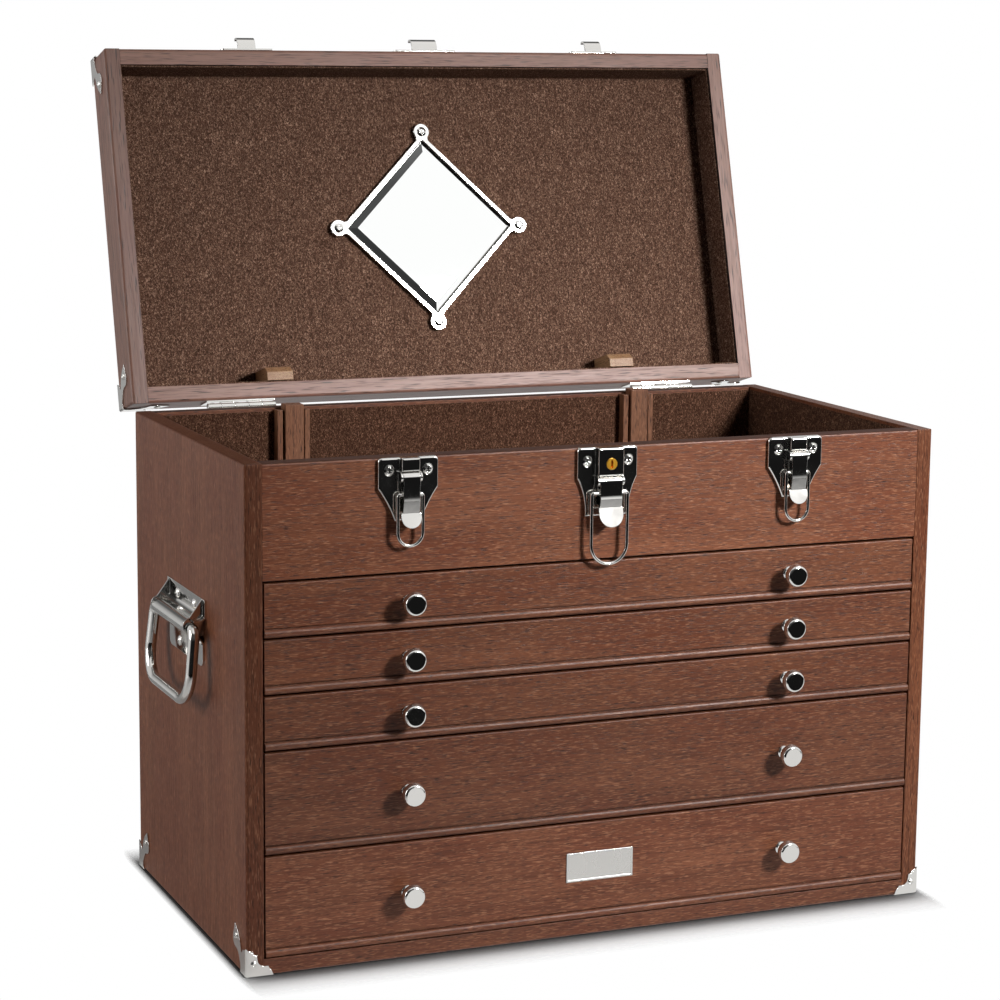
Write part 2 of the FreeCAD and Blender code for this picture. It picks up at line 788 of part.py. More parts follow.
def makeCatch(latch, middle):
    # Plate on the lid's front with a hook that curls away from the rim.
    low = rimZ + catchUp
    half = latch["catchHalf"]
    plate = block(middle - half, middle + half, frontY, frontY - catchThick,
                  low, low + catchHeight)
    plate = plate.makeFillet(plateCorner / 2, [edge for edge in plate.Edges
                                               if abs(edge.tangentAt(0).y) > 0.9])
    hook = [(catchThick / 2, 1.6), (4.0, 1.9), (8.0, 2.9), (9.9, 5.2), (9.6, 8.6)]
    left = middle - latch["hookHalf"]
    face = ribbon(hook, hookSheet, lambda out, up: vec(left, frontY - out, low + up))
    return fused([plate, face.extrude(vec(2 * latch["hookHalf"], 0, 0))])


def makeOuterCatches():
    catches = [opened(makeCatch(outerLatch, side * latchX)) for side in (-1, 1)]
    return Part.makeCompound(catches)


# Side handles

def sidePoint(side, out, y, z):
    return vec(side * (caseWidth / 2 + out), y, z)


def makeHandleMount(side):
    # Pressed sheet: a flange on the wood curling out to the barrel, a foot back on the
    # wood under it, and a three-cornered wall at each end.
    skin = mountSheet / 2
    flangeEnd = barrelZ + barrelRadius + flangeCurl
    footTop = barrelZ - footStart
    upper = [(skin, flangeEnd + mountSheet), (skin + mountSheet / 2, flangeEnd - mountSheet),
             (barrelOut * 0.4, flangeEnd - flangeCurl), (barrelOut, barrelZ + handleBar + mountSheet)]
    lower = [(barrelOut - mountSheet, barrelZ - handleBar - mountSheet / 2),
             (barrelOut * 0.4, (barrelZ - handleBar + footTop) / 2),
             (skin + mountSheet / 2, footTop), (skin, footTop - mountSheet)]
    wall = [(0, mountTop), (mountSheet, mountTop), (barrelOut + mountSheet, barrelZ + wallAbove),
            ((barrelOut + barrelRadius * 0.85, barrelZ + barrelRadius * 0.9),
             (barrelOut + barrelRadius, barrelZ)),
            ((barrelOut + barrelRadius * 0.7, barrelZ - barrelRadius * 0.7),
             (barrelOut, barrelZ - barrelRadius)),
            (0, barrelZ - barrelRadius)]

    def atY(y):
        return lambda out, z: sidePoint(side, out, y, z)

    wood = side * caseWidth / 2
    face = side * (caseWidth / 2 + mountSheet)
    flange = block(wood, face, -mountHalf, mountHalf, flangeEnd, mountTop)
    foot = block(wood, face, -barrelHalf, barrelHalf, mountTop - footDown, footTop)
    foot = foot.makeFillet(mountFootRound, [edge for edge in edgesAt(foot, "z", mountTop - footDown)
                                            if abs(edge.tangentAt(0).x) > 0.9])
    pieces = [flange, foot]
    for run, half in ((upper, mountHalf), (lower, barrelHalf)):
        pieces.append(ribbon(run, mountSheet, atY(-half)).extrude(vec(0, 2 * half, 0)))
    for start in (-barrelHalf, barrelHalf - mountSheet):
        pieces.append(outline(wall, atY(start)).extrude(vec(0, mountSheet, 0)))
    ends = [sidePoint(side, barrelOut, sign * barrelHalf, barrelZ) for sign in (-1, 1)]
    pieces.append(rod(ends[0], ends[1], barrelRadius))
    mount = fused(pieces).cut(rod(ends[0], ends[1], handleBar + handleFit))
    return mount.cut(block(0, wood, -mountHalf, mountHalf, 0, caseHeight))


def makeHandle(side):
    # Round bar: a pin into each end of the barrel, splayed legs and a wide lower run.
    lean = math.radians(handleTilt)
    turns = [(-handleInside, 0), (-handleTopHalf, 0), (-handleBottomHalf, handleDrop),
             (handleBottomHalf, handleDrop), (handleTopHalf, 0), (handleInside, 0)]
    points = [sidePoint(side, barrelOut + drop * math.sin(lean), y,
                        barrelZ - drop * math.cos(lean)) for y, drop in turns]
    bends = [handleTopBend, handleBottomBend, handleBottomBend, handleTopBend]
    return bentRod(points, bends, handleBar)


# Corner brackets. Each is drawn with its corner of the box at the origin and the box's
# edges running off along +X, +Y and +Z, and is then mirrored and moved to its place.

def grown(path):
    # An outline given in shares of a bracket's length.
    steps = []
    for step in path:
        if isinstance(step[0], tuple):
            steps.append(tuple((a * bracketLong, b * bracketLong) for a, b in step))
        else:
            steps.append((step[0] * bracketLong, step[1] * bracketLong))
    return steps


def bracketArms(low):
    # Two arms with stepped ends: on the front or back of the case, and on the lid's top.
    skin = -bracketThick
    steps = [(0.529, 0.142), (0.503, 0.148), (0.465, 0.219), (0.400, 0.213),
             ((0.284, 0.258), (0.232, 0.342)), (0.213, 0.471), (0.148, 0.490), (0.142, 0.542),
             (0.039, 0.574)]
    return [(skin, low), (0.587 * bracketLong, low)] + grown(steps) + [(skin, 0.632 * bracketLong)]


def bracketLeaf(low):
    # A leaf on a narrow neck, pointing away from the corner.
    skin = -bracketThick
    steps = [((0.342, 0.129), (0.400, 0.265)), ((0.503, 0.413), (0.677, 0.477)),
             ((0.852, 0.600), (0.813, 0.787)), (0.735, 1.000), (0.561, 0.890),
             ((0.400, 0.703), (0.303, 0.471)), ((0.232, 0.497), (0.187, 0.561)), (0.097, 0.574)]
    return [(skin, low), (0.403 * bracketLong, low)] + grown(steps) + [(skin, 0.632 * bracketLong)]


def makeBracket(capped):
    skin = -bracketThick
    low = skin if capped else 0
    outer = block(skin, bracketReach, skin, bracketReach, low, bracketReach)
    outer = outer.makeFillet(bracketRound, [edge for edge in edgesAt(outer, "x", skin)
                                            if endsAt(edge, "y", skin)])
    lower = [edge for edge in edgesAt(outer, "z", low) if edge.BoundBox.Center.sub(
        vec(bracketReach, bracketReach, low)).Length > bracketReach * 0.8]
    outer = outer.makeFillet(bracketRound if capped else bracketFoot, lower)
    shell = outer.cut(block(0, bracketReach, 0, bracketReach, 0, bracketReach))
    if capped:
        arms = outline(bracketArms(low), lambda a, b: vec(a, b, skin))
        side = outline(bracketLeaf(low), lambda c, b: vec(skin, b, c))
        front = outline(bracketLeaf(low), lambda c, a: vec(a, skin, c))
        pieces = [arms.extrude(vec(0, 0, bracketThick))]
    else:
        side = outline(bracketLeaf(low), lambda b, c: vec(skin, b, c))
        front = outline(bracketArms(low), lambda a, c: vec(a, skin, c))
        pieces = []
    pieces += [front.extrude(vec(0, bracketThick, 0)), side.extrude(vec(bracketThick, 0, 0))]
    return fused(pieces).common(shell)


def bracketScrews(capped):
    near, far, across, along = [share * bracketLong for share in bracketScrewArms + bracketScrewLeaf]
    if capped:
        return [screwHead(vec(near, far, -bracketThick), vec(0, 0, -1), smallHead),
                screwHead(vec(along, -bracketThick, across), vec(0, -1, 0), smallHead),
                screwHead(vec(-bracketThick, along, across), vec(-1, 0, 0), smallHead)]
    return [screwHead(vec(near, -bracketThick, far), vec(0, -1, 0), smallHead),
            screwHead(vec(-bracketThick, across, along), vec(-1, 0, 0), smallHead)]


def atCorners(shapes, endZ, up):
    # A copy at each of the four corners of the box's lower or upper end.
    copies = []
    for shape in shapes:
        level = shape if up else shape.mirror(vec(0, 0, 0), vec(0, 0, 1))
        for handX in (-1, 1):
            turned = level if handX < 0 else level.mirror(vec(0, 0, 0), vec(1, 0, 0))
            for handY in (-1, 1):
                copy = turned.copy() if handY < 0 else turned.mirror(vec(0, 0, 0), vec(0, 1, 0))
                copy.translate(vec(handX * caseWidth / 2, handY * caseDepth / 2, endZ))
                copies.append(copy)
    return copies


# Screws, one set on the case and one on the lid

def makeCaseScrews():
    heads = atCorners(bracketScrews(False), 0, True)
    for latch, middle in ((outerLatch, -latchX), (outerLatch, latchX), (lockLatch, 0)):
        for side in (-1, 1):
            at = latchPoint(middle, side * latch["screwX"], plateHigh - screwSink,
                            latch["screwDown"])
            heads.append(screwHead(at, vec(0, -1, 0), bigHead))
    for at in hingeScrewPlaces(-1):
        heads.append(screwHead(at, vec(0, 1, 0), smallHead))
    for side in (-1, 1):
        for hand in (-1, 1):
            at = sidePoint(side, mountSheet, hand * footScrewY, mountTop - footScrewDown)
            heads.append(screwHead(at, vec(side, 0, 0), bigHead))
            at = sidePoint(side, mountSheet, hand * mountScrewY, mountTop - mountScrewDown)
            heads.append(screwHead(at, vec(side, 0, 0), bigHead))
    return Part.makeCompound(heads)


def makeLidScrews():
    heads = atCorners(bracketScrews(True), lidTopZ, False)
    for latch, middle in ((outerLatch, -latchX), (outerLatch, latchX), (lockLatch, 0)):
        for side in (-1, 1):
            at = vec(middle + side * latch["catchScrewX"], frontY - catchThick,
                     rimZ + catchUp + catchHeight / 2)
            heads.append(screwHead(at, vec(0, -1, 0), smallHead))
    for at in hingeScrewPlaces(1):
        heads.append(screwHead(at, vec(0, 1, 0), smallHead))
    for x, y in lobePlaces():
        heads.append(screwHead(vec(x, y, lidLiningZ - frameThick), vec(0, 0, -1), bigHead))
    return Part.makeCompound([opened(head) for head in heads])


# Every node of the chest

nodes = {
    "side_left": makeSide(-1),
    "side_right": makeSide(1),
    "back_panel": makeBackPanel(),
    "bottom_panel": makeBottomPanel(),
    "bottom_rail": makeBottomRail(),
    "front_panel": makeFrontPanel(),
    "till_floor": makeTillFloor(),
    "drawer_runners": makeRunners(),
    "till_lining": makeTillLining(),
    "bar_guides": makeBarGuides(),
    "lock_bars": makeLockBars(),
    "lid_rail_left": makeLidSide(-1),
    "lid_rail_right": makeLidSide(1),
    "lid_rail_front": makeLidRail(frontY, insideFrontY),
    "lid_rail_back": makeLidRail(backY, insideBackY),
    "lid_panel": makeLidPanel(),
    "lid_lining": makeLidLining(),
    "lid_blocks": makeLidBlocks(),
    "mirror_frame": makeMirrorFrame(),
    "mirror": makeMirror(),
    "hinge_leaves_case": makeHingeLeaves(-1, (0, 2, 4)),
    "hinge_leaves_lid": opened(makeHingeLeaves(1, (1, 3))),
    "hinge_pins": makeHingePins(),
    "latch_plate_left": makeLatchPlate(outerLatch, -latchX),
    "latch_plate_right": makeLatchPlate(outerLatch, latchX),
    "lock_plate": makeLockPlate(),
    "lock_plug": makeLockPlug(),
    "catches_outer": makeOuterCatches(),
    "catch_center": opened(makeCatch(lockLatch, 0)),
    "case_corners": Part.makeCompound(atCorners([makeBracket(False)], 0, True)),
    "lid_corners": opened(Part.makeCompound(atCorners([makeBracket(True)], lidTopZ, False))),
    "case_screws": makeCaseScrews(),
    "lid_screws": makeLidScrews(),
}

for name, latch, middle in (("left", outerLatch, -latchX), ("right", outerLatch, latchX),
                            ("center", lockLatch, 0)):
    nodes["lever_" + name] = makeLever(latch, middle)
    nodes["bail_" + name] = makeBail(latch, middle)

for name, side in (("left", -1), ("right", 1)):
    nodes["handle_mount_" + name] = makeHandleMount(side)
    nodes["handle_" + name] = makeHandle(side)

for number, (base, pitch) in enumerate(zip(drawerBases(), drawerPitches), 1):
    nodes["drawer%d_front" % number] = makeDrawerFront(base, pitch)
    nodes["drawer%d_tray" % number] = makeTray(base, pitch)
    nodes["drawer%d_knobs" % number] = makeKnobs(base, pitch)
nodes["name_plate"] = makeNamePlate(drawerBases()[-1], drawerPitches[-1])

os.makedirs("parts", exist_ok=True)
for name, shape in nodes.items():
    shape.exportStep("parts/" + name + ".step")
print(len(nodes), "nodes")
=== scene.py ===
import bmesh
import bpy
import math
import random
from mathutils import Matrix, Vector


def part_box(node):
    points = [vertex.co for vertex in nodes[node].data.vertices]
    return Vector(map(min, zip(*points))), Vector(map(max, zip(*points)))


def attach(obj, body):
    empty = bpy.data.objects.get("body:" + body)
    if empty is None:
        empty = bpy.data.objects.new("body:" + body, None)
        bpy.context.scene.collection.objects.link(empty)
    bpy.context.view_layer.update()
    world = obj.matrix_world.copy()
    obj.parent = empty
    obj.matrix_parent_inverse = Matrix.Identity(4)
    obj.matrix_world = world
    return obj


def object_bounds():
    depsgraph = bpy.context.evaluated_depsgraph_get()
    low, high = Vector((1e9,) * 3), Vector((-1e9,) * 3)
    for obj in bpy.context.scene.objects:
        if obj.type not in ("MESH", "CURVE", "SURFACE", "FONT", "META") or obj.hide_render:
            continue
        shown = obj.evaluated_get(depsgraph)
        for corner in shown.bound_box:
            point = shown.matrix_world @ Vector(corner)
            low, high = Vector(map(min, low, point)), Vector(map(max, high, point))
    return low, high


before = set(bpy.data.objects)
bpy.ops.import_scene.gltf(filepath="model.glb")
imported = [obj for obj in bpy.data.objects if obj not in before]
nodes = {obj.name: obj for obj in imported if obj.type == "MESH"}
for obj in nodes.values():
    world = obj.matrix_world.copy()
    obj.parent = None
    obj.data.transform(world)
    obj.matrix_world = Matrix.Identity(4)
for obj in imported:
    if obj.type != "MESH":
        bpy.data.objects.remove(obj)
cadBox = [list(corner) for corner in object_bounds()]
mm = 0.001
lidAngle = math.radians(105.5)    # how far the lid stands open
drawers = range(1, 6)
print("frame loaded,", len(nodes), "nodes")


# small tools

def toLinear(hexColour):
    parts = [int(hexColour[i:i + 2], 16) / 255 for i in (1, 3, 5)]
    return tuple(c / 12.92 if c <= 0.04045 else ((c + 0.055) / 1.055) ** 2.4 for c in parts) + (1.0,)


def grey(level):
    return (level, level, level, 1.0)


def fill(node, values):
    # a socket takes a value, a hex colour, another node's output, or a node, which then
    # gives its first output that is in use
    for socket, value in values.items():
        if isinstance(value, bpy.types.Node):
            value = next(output for output in value.outputs if output.enabled)
        if isinstance(value, bpy.types.NodeSocket):
            node.id_data.links.new(value, node.inputs[socket])
        else:
            node.inputs[socket].default_value = toLinear(value) if isinstance(value, str) else value


def addNode(tree, kind, values=(), **settings):
    # values go by the socket's name or number, or in a row from the first socket on
    node = tree.nodes.new(kind)
    for name, setting in settings.items():
        setattr(node, name, setting)
    fill(node, values if isinstance(values, dict) else dict(enumerate(values)))
    return node


def newMaterial(name, values):
    material = bpy.data.materials.new(name)
    material.use_nodes = True
    tree = material.node_tree
    tree.nodes.clear()
    shader = addNode(tree, "ShaderNodeBsdfPrincipled", values)
    addNode(tree, "ShaderNodeOutputMaterial", {"Surface": shader})
    return material, tree, shader


def spots(tree, sizes, broken, turned=0.0, shift=(0, 0, 0)):
    # A soft pattern whose spots have these sizes in mm along X, Y and Z of the piece, turned
    # back to the closed lid where asked; broken is its finer detail, roughness and swirl.
    detail, rough, swirl = broken
    coords = addNode(tree, "ShaderNodeTexCoord").outputs["Object"]
    space = addNode(tree, "ShaderNodeMapping", {
        "Vector": coords, "Location": shift, "Rotation": (turned, 0, 0),
        "Scale": tuple(side * mm for side in sizes)}, vector_type="TEXTURE")
    return addNode(tree, "ShaderNodeTexNoise", {
        "Vector": space, "Scale": 1.0, "Detail": detail, "Roughness": rough, "Distortion": swirl})


def layOver(tree, tone, pattern, shows, most, colour):
    # lays a colour over the tone, from none to most of it while the pattern goes through shows
    amount = addNode(tree, "ShaderNodeMapRange", (pattern, *shows, 0.0, most))
    return addNode(tree, "ShaderNodeMix", {0: amount, 6: tone, 7: colour}, data_type="RGBA")


edgeSamples = 6    # the more, the smoother an edge that relief rounds


def relief(tree, shader, height, depth, edge):
    # a surface that is depth mm deep, with edges rounded by edge mm
    rounded = addNode(tree, "ShaderNodeBevel", {"Radius": edge * mm}, samples=edgeSamples)
    bump = addNode(tree, "ShaderNodeBump", {
        "Strength": 1.0, "Distance": depth * mm, "Height": height, "Normal": rounded})
    fill(shader, {"Normal": bump})


def paint(material, *names):
    for name in names:
        mesh = nodes[name]
        if not mesh.material_slots:
            mesh.data.materials.append(None)
        for place in mesh.material_slots:
            place.material = material


def addObject(name, data):
    thing = bpy.data.objects.new(name, data)
    bpy.context.scene.collection.objects.link(thing)
    return thing


# wood

woodLook = {
    "middle": "#5E3521", "light": "#6F422C", "red": "#5C2E1B",
    # the last colour is a painted shade, laid on faces turned one way
    "dark": "#3D1E0F", "fleck": "#97694E", "pore": "#22100A", "paintedShade": "#1E0E08",
    "lightSize": (240.0, 12.0),    # growth figure, along and across the grain, mm
    "redSize": (90.0, 34.0),       # slow drift between brown and red-brown
    "darkSize": (42.0, 1.3),       # fine streaks
    "fleckSize": (5.5, 0.55),      # pale fibres; real ones are 0.2 mm wide, drawn coarser to show
    "poreSize": (6.5, 0.6),        # open pores, drawn coarser for the same reason
    "lightMost": 1.0,              # how much of each colour there is where it shows most
    "redMost": 0.60,
    "darkMost": 0.68,
    "fleckMost": 0.68,
    "poreMost": 0.80,
    "paintedShadeMost": 0.75,
    "shade": 1.0,                  # how light the board is
    "poreDepth": 0.05,             # mm
    "edge": 0.7,                   # how far the edges are rounded, mm
    "rough": (0.36, 0.48),
    "gloss": 0.36,
    "ior": 1.45,
    "offset": 3.0,                 # a board is cut up to this far off in the pattern, metres
}
grainLayers = {
    # colour: detail, roughness and swirl of its pattern, then where it starts and is full
    "light": ((4.0, 0.55, 0.5), (0.30, 0.70)),
    "red": ((2.0, 0.5, 0.0), (0.42, 0.62)),
    "dark": ((3.0, 0.6, 0.0), (0.48, 0.70)),
    "fleck": ((1.0, 0.5, 0.0), (0.56, 0.72)),
    "pore": ((1.0, 0.5, 0.0), (0.58, 0.72)),
}
streaksDull = (0.3, 0.7)     # where in the streaks' pattern the lacquer turns duller
facesShaded = (0.50, 0.70)   # how squarely a face has to be turned to get painted shade


def lacqueredWood(name, grain, seed, turned=0.0, tint=None, paintedShade=None):
    # Hardwood, planed and sprayed with satin lacquer, most of it stained walnut: a slow drift
    # from brown to red-brown, short pale and dark dashes along the grain, a sheen at low angles.
    look = dict(woodLook, **(tint or {}))
    material, tree, shader = newMaterial(name, {
        "IOR": look["ior"], "Specular IOR Level": look["gloss"]})
    offset = look["offset"]
    shift = tuple(random.Random(seed * 3 + i).uniform(-offset, offset) for i in range(3))

    def boardTone(colour):
        return tuple(part * look["shade"] for part in toLinear(look[colour])[:3]) + (1.0,)

    tone = boardTone("middle")
    patterns = {}
    for colour, (broken, shows) in grainLayers.items():
        along, across = look[colour + "Size"]
        sizes = [along if axis == grain else across for axis in "xyz"]
        patterns[colour] = spots(tree, sizes, broken, turned, shift)
        tone = layOver(tree, tone, patterns[colour], shows, look[colour + "Most"], boardTone(colour))
    rough = addNode(tree, "ShaderNodeMapRange", (patterns["dark"], *streaksDull, *look["rough"]))
    if paintedShade:
        # faces turned this way are painted darker, a painted shade, and shine less
        normal = addNode(tree, "ShaderNodeTexCoord").outputs["Normal"]
        facing = addNode(tree, "ShaderNodeVectorMath", (normal, paintedShade), operation="DOT_PRODUCT")
        tone = layOver(tree, tone, facing, facesShaded, look["paintedShadeMost"], boardTone("paintedShade"))
        dull = addNode(tree, "ShaderNodeMapRange", (facing, *facesShaded, 0.0, look["paintedShadeMost"]))
        rough = addNode(tree, "ShaderNodeMath", (rough, dull), operation="MAXIMUM")
    fill(shader, {"Base Color": tone, "Roughness": rough})
    poreStarts, poreFull = grainLayers["pore"][1]
    height = addNode(tree, "ShaderNodeMapRange", (patterns["pore"], poreFull, poreStarts))
    relief(tree, shader, height, look["poreDepth"], look["edge"])
    return material


# The lid's rails are sanded less, so their pores are long and stay open, and they catch more
# light. Their inner walls and the tops and front edges of the boards are painted darker: painted
# shade.
railTint = {
    # these colours are lighter and pinker than the case's: a painted sheen
    "middle": "#7E5646", "light": "#8E685A", "red": "#7E4E42", "dark": "#5A382C",
    "redMost": 0.35, "darkMost": 0.5, "fleckMost": 0.3, "poreMost": 0.85, "paintedShadeMost": 0.98,
    "poreSize": (16.0, 0.8), "rough": (0.42, 0.52), "gloss": 0.6,
}
sideTint = {"shade": 1.15, "gloss": 0.22, "paintedShadeMost": 0.42, "edge": 1.5}
top = (0, 0, 1)
frontAndTop = (0, -0.71, 0.71)    # a face turned to the front or up gets all of the painted shade
intoLid = (0.0, math.cos(lidAngle), -math.sin(lidAngle))    # from the front rail to the back one
outOfLid = tuple(-part for part in intoLid)
boards = {
    # board: direction of the grain, seed, tint, direction of the faces with painted shade
    "side_left": ("z", 1, sideTint, frontAndTop),
    # the right board's top is lit, so it gets less painted shade than the left one's
    "side_right": ("z", 2, dict(sideTint, paintedShadeMost=0.12), frontAndTop),
    "back_panel": ("x", 3, {}, top),
    "bottom_panel": ("x", 4, {}, None),
    "bottom_rail": ("x", 5, {}, None),
    "till_floor": ("x", 7, {}, None),
    "front_panel": ("x", 6, {"shade": 1.2}, top),
    "drawer1_front": ("x", 8, {"shade": 1.0}, None),
    "drawer2_front": ("x", 9, {"shade": 0.94}, None),
    "drawer3_front": ("x", 10, {"shade": 0.88}, None),
    "drawer4_front": ("x", 11, {"shade": 0.86}, None),
    "drawer5_front": ("x", 12, {"shade": 1.1}, None),
    "lid_panel": ("x", 17, {}, None),
    # the left rail is painted darker than the other rails: painted shade
    "lid_rail_left": ("y", 13, dict(railTint, shade=0.75), (1, 0, 0)),
    "lid_rail_right": ("y", 14, railTint, (-1, 0, 0)),
    "lid_rail_front": ("x", 15, railTint, intoLid),
    "lid_rail_back": ("x", 16, railTint, outOfLid),
}
for board, (grain, seed, tint, paintedShade) in boards.items():
    turned = -lidAngle if board.startswith("lid") else 0.0
    name = "stained walnut, satin lacquer, " + board.replace("_", " ")
    paint(lacqueredWood(name, grain, seed, turned, tint, paintedShade), board)

barTint = {"middle": "#6B452F", "light": "#845A42", "red": "#6B3E29"}
paint(lacqueredWood("stained walnut, satin lacquer, lock bars and guides", "z", 21, 0.0, barTint),
      "lock_bars", "bar_guides")

# the same lacquer on wood that was not stained
blockTint = {"middle": "#A07A58", "light": "#B8926C", "red": "#94684A", "dark": "#7C5A40"}
paint(lacqueredWood("plain hardwood, satin lacquer, lid blocks", "z", 22, -lidAngle, blockTint),
      "lid_blocks")
traySeed = 30    # the five trays take the seeds after this
trayTint = {
    "middle": "#96714E", "light": "#B08A63", "red": "#8E6544", "dark": "#7A5A3C",
    "fleck": "#C4A27C", "pore": "#5C4029",
}
for number in drawers:
    name = "plain hardwood, satin lacquer, drawer %d tray" % number
    paint(lacqueredWood(name, "x", traySeed + number, 0.0, trayTint), "drawer%d_tray" % number)
paint(lacqueredWood("plain hardwood, satin lacquer, drawer runners", "y", 40, 0.0, trayTint),
      "drawer_runners")
print("wood done")


# felt

feltLook = {
    "pit": "#2A1810", "body": "#523526", "lint": "#94705A",
    "fibreSize": (0.9, 1.6),           # tufts, across and along the nap, mm; a single fibre is
    "clumpSize": (7.0, 16.0),          # too fine to show, so tufts of them are drawn
    "fibreBroken": (2.0, 0.7, 1.2),    # detail, roughness and swirl
    "clumpBroken": (3.0, 0.6, 1.5),
    "depth": 0.45,                     # mm
    "edge": 0.5,
    "onCase": (0.95, 0.95, 0.95),      # how light it is, in red, green and blue
    "onLid": (1.7, 2.0, 2.3),          # lighter and bluer than the till's: painted light on the felt that faces the lamps
    "surface": {"Roughness": 0.95, "Specular IOR Level": 0.1, "Sheen Weight": 0.25,
                "Sheen Roughness": 0.5, "Sheen Tint": "#A98C78"},
}
feltLayers = [
    # pattern, where in it the colour starts and is full, how much of it, the colour
    ("fibre", (0.36, 0.56), 1.0, "body"),
    ("fibre", (0.54, 0.70), 1.0, "lint"),
    ("clump", (0.38, 0.66), 0.30, "pit"),
]


def brownFelt(name, turned, light):
    # Pressed wool-blend felt: matt, with pale lint and dark pits between the fibres, which
    # lean down the nap and gather in faint streaks.
    material, tree, shader = newMaterial("brown pressed felt, " + name, feltLook["surface"])

    def nap(pattern):
        across, along = feltLook[pattern + "Size"]
        return spots(tree, (across, along, along), feltLook[pattern + "Broken"], turned)

    def dyed(colour):
        return tuple(part * share for part, share in zip(toLinear(feltLook[colour]), light)) + (1.0,)

    patterns = {"fibre": nap("fibre"), "clump": nap("clump")}
    tone = dyed("pit")
    for pattern, shows, most, colour in feltLayers:
        tone = layOver(tree, tone, patterns[pattern], shows, most, dyed(colour))
    fill(shader, {"Base Color": tone})
    relief(tree, shader, patterns["fibre"], feltLook["depth"], feltLook["edge"])
    return material


feltOnCase = brownFelt("till", 0.0, feltLook["onCase"])
paint(feltOnCase, "till_lining")
paint(brownFelt("lid", -lidAngle, feltLook["onLid"]), "lid_lining")

trayLining = {
    "thick": 0.9, "gap": 0.25, "wave": 0.25,    # mm
    "trayWall": 9.0, "trayBottom": 3.0,
    "cells": (44, 20),
    "ripples": (0.7, 0.9),    # radians from cell to cell, across and deep
}


def makeTrayLining(number):
    # A loose felt sheet in the bottom of a drawer, not quite flat.
    tray, name = "drawer%d_tray" % number, "drawer%d_lining" % number
    low, high = [Vector(corner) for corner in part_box(tray)]
    gap = trayLining["gap"] * mm
    wall = trayLining["trayWall"] * mm + gap
    left, front, bottom = low.x + wall, low.y + gap, low.z + trayLining["trayBottom"] * mm
    width, depth = high.x - wall - left, high.y - wall - front
    across, deep = trayLining["cells"]
    rippleAcross, rippleDeep = trayLining["ripples"]

    def height(i, j):
        lift = 0.0
        if min(i, across - i, j, deep - j) > 0:
            ripple = math.sin(i * rippleAcross + number) * math.cos(j * rippleDeep)
            lift = trayLining["wave"] * mm * (0.5 + 0.5 * ripple)
        return trayLining["thick"] * mm + lift

    mesh = bmesh.new()
    rows = []
    for i in range(across + 1):
        row = []
        for j in range(deep + 1):
            foot = Vector((left + width * i / across, front + depth * j / deep, bottom))
            row.append(mesh.verts.new(foot + Vector((0, 0, height(i, j)))))
        rows.append(row)
    for i in range(across):
        for j in range(deep):
            mesh.faces.new((rows[i][j], rows[i + 1][j], rows[i + 1][j + 1], rows[i][j + 1]))
    rim = [rows[i][0] for i in range(across)] + [rows[across][j] for j in range(deep)]
    rim += [rows[i][deep] for i in range(across, 0, -1)] + [rows[0][j] for j in range(deep, 0, -1)]
    feet = [mesh.verts.new((vert.co.x, vert.co.y, bottom)) for vert in rim]
    for i in range(len(rim)):
        after = (i + 1) % len(rim)
        mesh.faces.new((rim[i], feet[i], feet[after], rim[after]))
    mesh.faces.new(list(reversed(feet)))
    bmesh.ops.recalc_face_normals(mesh, faces=mesh.faces)
    data = bpy.data.meshes.new(name)
    mesh.to_mesh(data)
    mesh.free()
    data.materials.append(feltOnCase)
    lining = addObject(name, data)
    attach(lining, "drawer%d" % number)


for number in drawers:
    makeTrayLining(number)
print("felt done")


# metal and mirror

nickelLook = {
    "smudgeSize": (22.0, 22.0, 22.0),     # mm
    "smudgeBroken": (3.0, 0.6, 0.0),      # detail, roughness and swirl
    "smudgeShows": (0.35, 0.70),
    "rippleSize": (9.0, 9.0, 9.0),
    "rippleBroken": (1.0, 0.5, 0.0),
    "rippleDepth": 0.03, "edge": 0.35,    # mm
}
nickelPieces = {
    # finish: colour, roughness where it is clean and where it is smudged, pieces
    "pressed steel, bright nickel plated, fittings": ("#DCDAD6", (0.05, 0.13), [
        "latch_plate_left", "latch_plate_right", "lock_plate", "lever_left", "lever_right",
        "lever_center", "bail_left", "bail_right", "bail_center", "handle_mount_left",
        "handle_mount_right", "handle_left", "handle_right", "catches_outer", "catch_center",
        "case_corners", "lid_corners", "case_screws", "lid_screws", "hinge_leaves_case",
        "hinge_leaves_lid", "hinge_pins"]),
    "turned steel, bright nickel plated, knobs": (
        "#DCDAD6", (0.03, 0.07), ["drawer%d_knobs" % number for number in drawers]),
    "pressed steel, bright nickel plated, mirror frame": (
        "#DCDAD6", (0.10, 0.18), ["mirror_frame"]),
    "pressed steel, satin nickel plated, name plate": (
        "#CFCDC9", (0.24, 0.34), ["name_plate"]),
}


def nickelPlate(name, colour, rough):
    # Nickel plate on steel: mirror-like where it is bright, with a slow ripple from the steel
    # under it and faint dull patches from handling.
    material, tree, shader = newMaterial(name, {"Base Color": colour, "Metallic": 1.0})
    smudge = spots(tree, nickelLook["smudgeSize"], nickelLook["smudgeBroken"])
    dull = addNode(tree, "ShaderNodeMapRange", (smudge, *nickelLook["smudgeShows"], *rough))
    fill(shader, {"Roughness": dull})
    ripple = spots(tree, nickelLook["rippleSize"], nickelLook["rippleBroken"])
    relief(tree, shader, ripple, nickelLook["rippleDepth"], nickelLook["edge"])
    return material


for finish, (colour, rough, pieces) in nickelPieces.items():
    paint(nickelPlate(finish, colour, rough), *pieces)

# warm, slightly dulled by keys
brassLook = {"Base Color": "#E2A93A", "Metallic": 1.0, "Roughness": 0.34}
paint(newMaterial("turned brass, lock plug", brassLook)[0], "lock_plug")

# a clean mirror, all but colourless
mirrorLook = {"Base Color": "#FDFEFD", "Metallic": 1.0, "Roughness": 0.01}
paint(newMaterial("silvered float glass", mirrorLook)[0], "mirror")
print("metal done")


# light

